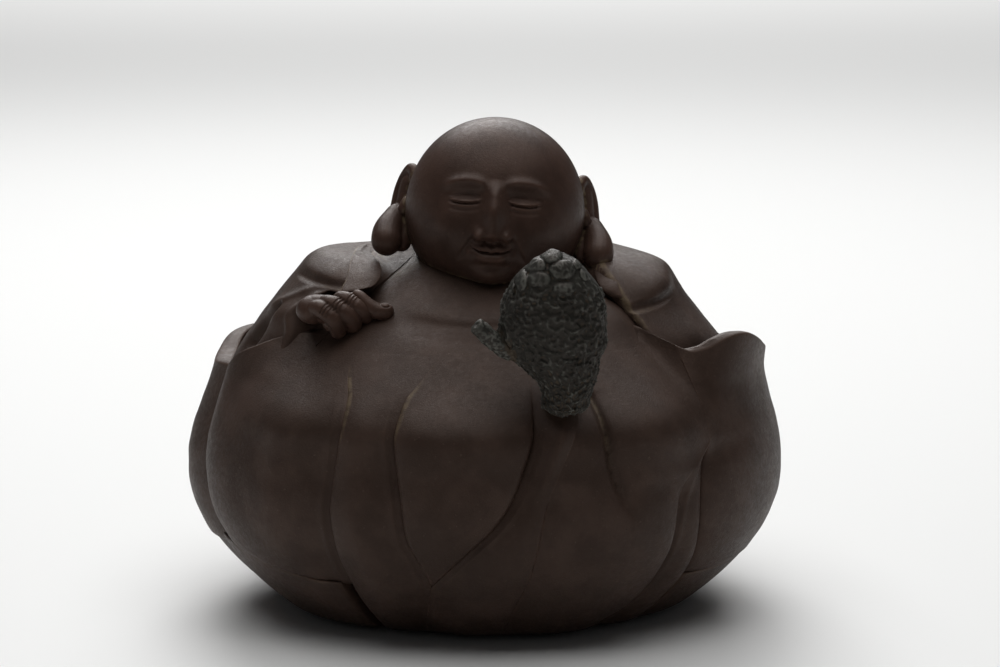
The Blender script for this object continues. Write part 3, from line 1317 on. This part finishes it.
hand = make_hand("hand_right")
thumb = fused("thumb_right", [clay_roll(THUMB, THUMB_WIDTHS)], HAND_VOXEL, HAND_SMOOTHING)
press_nail(thumb, NAIL_PLACE)
print("hand points:", len(hand.data.vertices), "thumb points:", len(thumb.data.vertices))

# %% [markdown]
# ## Dark clay piece
# In front of the belly stands a rough, upright lump of darker clay on a narrow neck, with rounded plates at
# its top and a short stub at one side. Its skin looks like bark. The lump is a sphere that follows a drawn
# outline, and Displace modifiers with procedural textures roughen it.

# %% Dark lump
DARK_LOW = 38.6
DARK_HIGH = 64.9
DARK_DEPTH = 11.5
DARK_LEAN = (-40.7, -42.7)
DARK_CLOSING = 0.45
DARK_ROUNDNESS = 0.6
# Height, left edge and right edge of the outline
DARK_OUTLINE = (
    (38.6, 9.6, 15.4), (40.4, 9, 16.2), (43.4, 8.7, 17.2), (45.6, 6.8, 17.6), (48, 4, 18.1),
    (49.6, 3.2, 18.8), (51.4, 2.3, 19), (54, 2.4, 19), (56.7, 2.8, 18.7), (58.8, 3.6, 17.9),
    (61.2, 5.2, 16.2), (63.2, 7.4, 14.4), (64.9, 9, 12.2),
)
# Rounded plates at the top: place across, height, half width, half height
PLATES = (
    (10.3, 64.2, 1.7, 1), (7.6, 62.9, 2, 1.1), (12, 62.3, 2.1, 1.4), (8.4, 61, 1.9, 1.2), (5.8, 60.6, 1, 1.6),
    (3.9, 59.4, 0.9, 1.5), (14.6, 63, 1.1, 0.8), (15.8, 61.8, 1.2, 1.3), (12.2, 59.6, 1.8, 1.1),
)
PLATE_RISE = 0.75
PLATE_LIFT = 0.4
PLATE_LIFT_HEIGHTS = (60, 64)
PLATE_SIDE = (-0.2, 0.4)
# Texture, size, strength and middle level of each roughening
DARK_ROUGHNESS = (("CLOUDS", 3, 0.9, 0.5), ("MUSGRAVE", 1.3, 0.5, 0.7), ("MUSGRAVE", 0.6, 0.22, 0.7))
STUB_ROUGHNESS = ("CLOUDS", 1.2, 0.5, 0.5)
BARK_OCTAVES = 3
BARK_INTENSITY = 0.6
# The plates are smoother than the rest: loss of roughness, heights at which it sets in, number of levels
ROUGH_LOSS = 0.85
ROUGH_LOSS_HEIGHTS = (58, 61)
ROUGH_LEVELS = 10
DARK_RINGS = (260, 220)
STUB = ((5.6, -42.1, 48.8), (3.4, -42.7, 49.8), (1.2, -43.2, 51.4), (-1.2, -43.7, 53.6))
STUB_WIDTHS = (3.4, 3.2, 2.9, 2.5)
STUB_END_ROUND = (1, 0.25)
STUB_VOXEL = 0.12
STUB_SMOOTHING = 3


def roughen(piece, kind, size, strength, middle):
    """Adds and applies a Displace modifier with a procedural texture."""
    texture = bpy.data.textures.new(piece.name + "_rough", kind)
    texture.noise_scale = size * MM
    if kind == "MUSGRAVE":
        texture.musgrave_type = "RIDGED_MULTIFRACTAL"
        texture.octaves = BARK_OCTAVES
        texture.noise_intensity = BARK_INTENSITY
    displace = piece.modifiers.new("roughen", "DISPLACE")
    displace.texture = texture
    displace.texture_coords = "LOCAL"
    displace.strength = strength * MM
    displace.mid_level = middle
    if "rough" in piece.vertex_groups:
        displace.vertex_group = "rough"
    choose(piece)
    bpy.ops.object.modifier_apply(modifier=displace.name)


def plate_relief(x, z):
    """Height of the overlapping plates at the top, from 0 to 1."""
    relief = 0 * x
    for across, height, half_width, half_height in PLATES:
        reach = ((x - across) / half_width) ** 2 + ((z - height) / half_height) ** 2
        relief = np.maximum(relief, np.sqrt(np.clip(1 - reach, 0, 1)))
    return relief


def make_dark_piece(name):
    ball, ways = start_lump(name, *DARK_RINGS)
    share = (ways[:, 2] + 1) / 2
    height = mix(DARK_LOW, DARK_HIGH, share)
    heights, lefts, rights = np.array(DARK_OUTLINE).T
    left = along(np.stack([heights, lefts], 1), height)
    right = along(np.stack([heights, rights], 1), height)
    closing = np.minimum(1, np.hypot(ways[:, 0], ways[:, 1]) / DARK_CLOSING)
    turn = np.arctan2(ways[:, 0], -ways[:, 1])
    half = (right - left) / 2 * closing
    depth = DARK_DEPTH / 2 * closing * ((right - left) / (rights - lefts).max()) ** DARK_ROUNDNESS
    x = (left + right) / 2 + np.sin(turn) * half
    y = mix(DARK_LEAN[0], DARK_LEAN[1], share) - np.cos(turn) * depth
    plates = plate_relief(x, height) * ease(np.cos(turn), *PLATE_SIDE)
    y = y - PLATE_RISE * plates
    height = height + PLATE_LIFT * plates * ease(height, *PLATE_LIFT_HEIGHTS)
    set_points(ball, np.stack([x, y, height], 1))
    rough = ball.vertex_groups.new(name="rough")
    strength = 1 - ROUGH_LOSS * ease(height, *ROUGH_LOSS_HEIGHTS)
    for step in range(ROUGH_LEVELS + 1):
        chosen = np.flatnonzero(np.round(strength * ROUGH_LEVELS) == step)
        rough.add(chosen.tolist(), step / ROUGH_LEVELS, "REPLACE")
    for roughness in DARK_ROUGHNESS:
        roughen(ball, *roughness)
    smooth_shading(ball)
    return ball


dark_piece = make_dark_piece("dark_piece")
dark_stub = fused("dark_stub", [clay_roll(STUB, STUB_WIDTHS, STUB_END_ROUND)], STUB_VOXEL, STUB_SMOOTHING)
roughen(dark_stub, *STUB_ROUGHNESS)
print("dark points:", len(dark_piece.data.vertices), "stub points:", len(dark_stub.data.vertices))

# %% [markdown]
# ## Wear and residue
# Tea and dust stay in the crevices of such a figurine, and handling polishes its high places. Both are kept
# as attributes that the materials read. The crevices of petals, pot, robe and lapels were drawn with their
# shape. On the other pieces a crevice is a place near a neighbour or, except on the skin, in a hollow. On all
# of them a high place is where the surface bulges.

# %% Pieces and slots
BODY_PIECES = {**petals, **under_petals, **pot, "foot_disc": floor_disc, **robe, **lapels}
SKIN_PIECES = {"head": head, **ears, "hand_right": hand, "thumb_right": thumb}
DARK_PIECES = {"dark_piece": dark_piece, "dark_stub": dark_stub}
SLOTS = {"body_clay": BODY_PIECES, "skin_clay": SKIN_PIECES, "dark_clay": DARK_PIECES}
PIECES = {**BODY_PIECES, **SKIN_PIECES, **DARK_PIECES}
print("pieces:", len(PIECES))

# %% Crevices and high places
NEAR_SAMPLES = 9000
CREVICE_FULL = 0.3
CREVICE_REACH = 0.9
HOLLOW_PASSES = 5
BEND_LIMIT = 3
# Bends in 1/mm at which a hollow and a high place set in and are complete
HOLLOW_BENDS = (0.25, 1.2)
HIGH_BENDS = (0.12, 0.8)
# Share of the residue that stays on pieces which are handled
RESIDUE_KEPT = {"hand_right": 0.35, "thumb_right": 0.35}


def edge_ends(piece):
    return read_values(piece.data.edges, "vertices", 2, int)


def spread_evenly(values, ends, passes):
    """Averages values over neighbouring points."""
    count = np.bincount(ends.ravel(), minlength=len(values)).clip(1)
    for _ in range(passes):
        total = np.bincount(ends[:, 0], values[ends[:, 1]], len(values))
        total += np.bincount(ends[:, 1], values[ends[:, 0]], len(values))
        values = (values + total / count) / 2
    return values


def hollowness(piece, points):
    """Bend of the surface in 1/mm: positive in hollows and negative on high places."""
    ends = edge_ends(piece)
    normals = point_normals(piece)
    step = points[ends[:, 1]] - points[ends[:, 0]]
    square = (step**2).sum(axis=1).clip(1e-6)
    rise = (step * normals[ends[:, 0]]).sum(axis=1) / square
    fall = (-step * normals[ends[:, 1]]).sum(axis=1) / square
    total = np.bincount(ends[:, 0], rise, len(points)) + np.bincount(ends[:, 1], fall, len(points))
    count = np.bincount(ends.ravel(), minlength=len(points)).clip(1)
    return spread_evenly(np.clip(2 * total / count, -BEND_LIMIT, BEND_LIMIT), ends, HOLLOW_PASSES)


places = {name: get_points(piece) for name, piece in PIECES.items()}
samples = {name: points[:: max(1, len(points) // NEAR_SAMPLES)] for name, points in places.items()}


def nearness(name):
    """Share from 0 to 1 of closeness to the neighbouring pieces."""
    points = places[name]
    low = points.min(axis=0) - CREVICE_REACH
    high = points.max(axis=0) + CREVICE_REACH
    others = np.concatenate([spots for other, spots in samples.items() if other != name])
    close = others[((others > low) & (others < high)).all(axis=1)]
    tree = kdtree.KDTree(len(close))
    for index, spot in enumerate(close.tolist()):
        tree.insert(spot, index)
    tree.balance()
    gap = np.array([tree.find(point)[2] or CREVICE_REACH for point in points.tolist()])
    return 1 - ease(gap, CREVICE_FULL, CREVICE_REACH)


def add_attribute(piece, name, values):
    attribute = piece.data.attributes.new(name, "FLOAT", "POINT")
    attribute.data.foreach_set("value", np.clip(values, 0, 1).astype(np.float32))


def crease_of(piece):
    return read_values(piece.data.attributes["crease"].data, "value", 1, np.float32)[:, 0]


for name, piece in PIECES.items():
    points = places[name]
    bend = hollowness(piece, points)
    if name in {**petals, **pot, **robe, **lapels}:
        crevice = crease_of(piece)
    else:
        crevice = nearness(name)
        if name not in SKIN_PIECES:
            crevice = np.maximum(crevice, ease(bend, *HOLLOW_BENDS))
        crevice = crevice * RESIDUE_KEPT.get(name, 1)
    add_attribute(piece, "crevice", crevice)
    add_attribute(piece, "high_place", ease(-bend, *HIGH_BENDS))
print("attributes made for", len(PIECES), "pieces")

# %% [markdown]
# ## Clay
# The figurine is unglazed stoneware. Close up it shows a fine, sandy grain, pale and dark specks, slow
# changes of brown, tan residue in the crevices and a reddish, slightly polished tone on the high places. One
# function builds that finish from noise textures, and three clays differ in colour, roughness and grain.

# %% Clay finish
RESIDUE_LOW = 28
RESIDUE_HIGH = 44
TAN = (0.13, 0.095, 0.058)
SPECULAR = 0.26
SPECULAR_TINT = (1, 0.82, 0.74, 1)
GRAIN_STRENGTH = 0.5


def clay(name, deep, light, residue, polish, roughness, grain, grain_depth):
    """Procedural finish of unglazed clay."""
    material = bpy.data.materials.new(name)
    material.use_nodes = True
    nodes = material.node_tree.nodes
    links = material.node_tree.links
    shader = nodes["Principled BSDF"]
    place = nodes.new("ShaderNodeTexCoord").outputs["Object"]

    def noise(scale, detail, rough):
        node = nodes.new("ShaderNodeTexNoise")
        node.inputs["Scale"].default_value = scale
        node.inputs["Detail"].default_value = detail
        node.inputs["Roughness"].default_value = rough
        links.new(place, node.inputs["Vector"])
        return node.outputs["Fac"]

    def ramp(value, low, high, bottom=0.0, top=1.0):
        node = nodes.new("ShaderNodeMapRange")
        node.interpolation_type = "SMOOTHSTEP"
        node.inputs["From Min"].default_value = low
        node.inputs["From Max"].default_value = high
        node.inputs["To Min"].default_value = bottom
        node.inputs["To Max"].default_value = top
        links.new(value, node.inputs["Value"])
        return node.outputs["Result"]

    def blend(share, first, second):
        node = nodes.new("ShaderNodeMix")
        node.data_type = "RGBA"
        links.new(share, node.inputs["Factor"])
        for socket, colour in ((node.inputs["A"], first), (node.inputs["B"], second)):
            if isinstance(colour, tuple):
                socket.default_value = (*colour, 1)
            else:
                links.new(colour, socket)
        return node.outputs["Result"]

    def times(first, second):
        node = nodes.new("ShaderNodeMath")
        node.operation = "MULTIPLY"
        links.new(first, node.inputs[0])
        links.new(second, node.inputs[1])
        return node.outputs["Value"]

    def attribute(word):
        node = nodes.new("ShaderNodeAttribute")
        node.attribute_name = word
        return node.outputs["Fac"]

    split = nodes.new("ShaderNodeSeparateXYZ")
    links.new(place, split.inputs["Vector"])
    tone = blend(ramp(noise(130, 4, 0.6), 0.35, 0.68), deep, light)
    specks = ramp(noise(grain * 0.55, 2, 0.5), 0.66, 0.78, 0.0, 0.4)
    tone = blend(specks, tone, tuple(min(1, value * 1.7 + 0.015) for value in light))
    pits = ramp(noise(grain * 0.8, 2, 0.5), 0.3, 0.2, 0.0, 0.7)
    tone = blend(pits, tone, tuple(value * 0.45 for value in deep))
    worn = times(attribute("high_place"), ramp(noise(260, 3, 0.6), 0.3, 0.7, 0.2, 0.8))
    tone = blend(worn, tone, polish)
    upper = ramp(split.outputs["Z"], RESIDUE_LOW * MM, RESIDUE_HIGH * MM, 0.08, 1)
    patchy = ramp(noise(520, 4, 0.65), 0.3, 0.62, 0.1, 0.9)
    dusty = times(times(ramp(attribute("crevice"), 0.3, 1.0), patchy), upper)
    tone = blend(dusty, tone, residue)
    links.new(tone, shader.inputs["Base Color"])
    rough = ramp(noise(grain * 0.4, 3, 0.6), 0.3, 0.7, roughness - 0.06, roughness + 0.08)
    links.new(rough, shader.inputs["Roughness"])
    shader.inputs["Specular IOR Level"].default_value = SPECULAR
    shader.inputs["Specular Tint"].default_value = SPECULAR_TINT
    bump = nodes.new("ShaderNodeBump")
    bump.inputs["Strength"].default_value = GRAIN_STRENGTH
    bump.inputs["Distance"].default_value = grain_depth * MM
    links.new(noise(grain, 4, 0.7), bump.inputs["Height"])
    links.new(bump.outputs["Normal"], shader.inputs["Normal"])
    return material


CLAYS = {
    "body_clay": clay(
        "body_clay", deep=(0.036, 0.0215, 0.0158), light=(0.056, 0.0345, 0.0262), residue=TAN,
        polish=(0.07, 0.041, 0.03), roughness=0.48, grain=3200, grain_depth=0.15),
    "skin_clay": clay(
        "skin_clay", deep=(0.037, 0.02, 0.0145), light=(0.058, 0.032, 0.0235), residue=TAN,
        polish=(0.078, 0.042, 0.03), roughness=0.43, grain=3200, grain_depth=0.11),
    "dark_clay": clay(
        "dark_clay", deep=(0.0145, 0.0145, 0.0122), light=(0.028, 0.028, 0.024), residue=(0.06, 0.045, 0.03),
        polish=(0.12, 0.121, 0.106), roughness=0.46, grain=2600, grain_depth=0.16),
}
print("clays:", list(CLAYS))

# %% [markdown]
# ## Hand over to the frame
# Each finished piece stands for the node of the same name, rides on the one body and keeps its slot. The box
# of the dressed figurine is written beside that of the construction, because it may not grow.

# %% Ride, replace and measure
for slot_name, group in SLOTS.items():
    for name, piece in group.items():
        piece.data.materials.clear()
        piece.data.materials.append(CLAYS[slot_name])
        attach(piece, "root")
        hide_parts(name)
